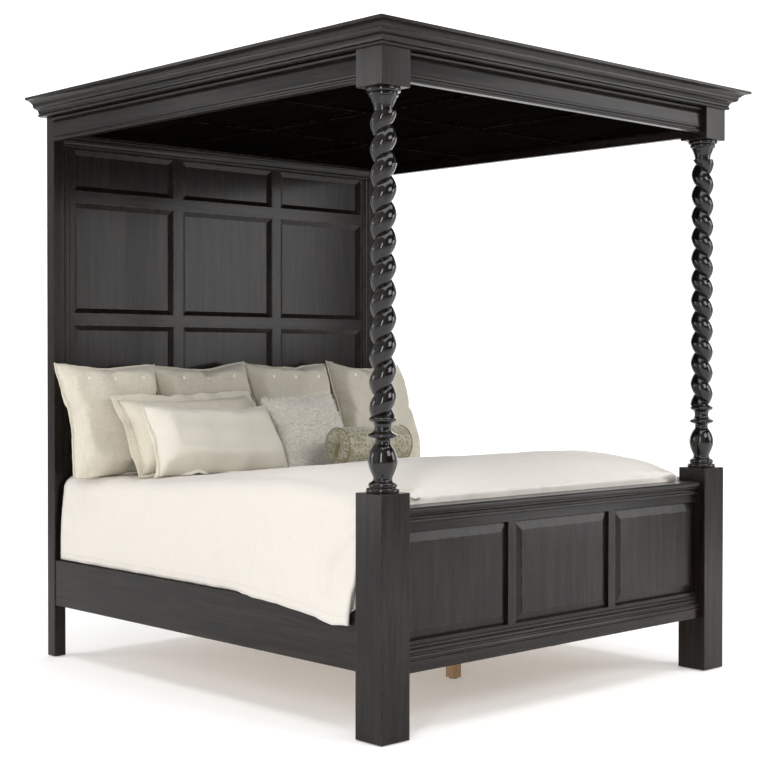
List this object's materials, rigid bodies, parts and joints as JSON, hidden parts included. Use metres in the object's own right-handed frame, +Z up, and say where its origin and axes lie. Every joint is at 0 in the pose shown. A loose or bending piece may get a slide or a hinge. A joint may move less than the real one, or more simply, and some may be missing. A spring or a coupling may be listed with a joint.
{
  "type": "four poster canopy bed",
  "caption": "Four-poster canopy bed with twist-turned foot columns, panelled headboard, footboard and coffered tester, made up with a crowned coverlet and pillows.",
  "frame": {"origin": "on the floor, under the middle of the whole footprint, cornice included", "axes": "+X across the bed, to the right as seen from the foot; +Y from the foot to the head; +Z up"},
  "size_m": [2.244, 2.372, 2.555],
  "materials": {
    "wood_satin": "satin near-black espresso stain with faint upright grain",
    "wood_gloss": "gloss near-black lacquer on turned wood",
    "ceiling_wood": "satin dark grey-brown stain",
    "slat_wood": "planed unfinished pine",
    "bracket_steel": "zinc-plated, dull",
    "glide_plastic": "matte",
    "ticking": "woven ticking",
    "linen_cream": "washed cotton-linen, matte",
    "linen_beige": "slubbed linen, matte",
    "linen_ivory": "smooth sateen",
    "fur": "short curly pile",
    "bolster_weave": "small patterned weave with a slight sheen",
    "button": "matte cream"
  },
  "bodies": {
    "root": {"bolster": "bolster_weave", "box_spring": "ticking", "ceiling_battens": "wood_satin", "ceiling_ledgers": "wood_satin", "ceiling_panels": "ceiling_wood", "centre_beam": "slat_wood", "centre_legs": "slat_wood", "column_left": "wood_gloss", "column_right": "wood_gloss", "comforter": "linen_cream", "cornice_front": "wood_satin", "cornice_left": "wood_satin", "cornice_right": "wood_satin", "coverlet": "linen_cream", "euro_sham_1": "linen_beige", "euro_sham_2": "linen_beige", "euro_sham_3": "linen_beige", "euro_sham_4": "linen_beige", "floor_glides": "glide_plastic", "foot_post_left": "wood_satin", "foot_post_right": "wood_satin", "footboard_base_moulding": "wood_satin", "footboard_bottom_rail": "wood_satin", "footboard_cap": "wood_satin", "footboard_cap_moulding": "wood_satin", "footboard_muntins": "wood_satin", "footboard_panels": "wood_satin", "footboard_top_rail": "wood_satin", "fur_pillow": "fur", "head_post_left": "wood_satin", "head_post_right": "wood_satin", "headboard_bottom_rail": "wood_satin", "headboard_cross_rails": "wood_satin", "headboard_edge_mouldings": "wood_satin", "headboard_muntins": "wood_satin", "headboard_panel_beads": "wood_satin", "headboard_panels": "wood_satin", "headboard_stile_left": "wood_satin", "headboard_stile_right": "wood_satin", "headboard_top_rail": "wood_satin", "long_sham": "linen_beige", "lumbar_pillow": "linen_ivory", "mattress": "ticking", "plate_screws": "bracket_steel", "post_slot_plates": "bracket_steel", "rail_cleats": "slat_wood", "rail_hook_plates": "bracket_steel", "sham_buttons": "button", "side_rail_left": "wood_satin", "side_rail_right": "wood_satin", "slats": "slat_wood", "tester_back_moulding": "wood_satin", "tester_block_left": "wood_satin", "tester_block_right": "wood_satin", "tester_dowels": "slat_wood", "tester_frieze_back": "wood_satin", "tester_frieze_front": "wood_satin", "tester_frieze_left": "wood_satin", "tester_frieze_right": "wood_satin"}
  },
  "joints": []
}
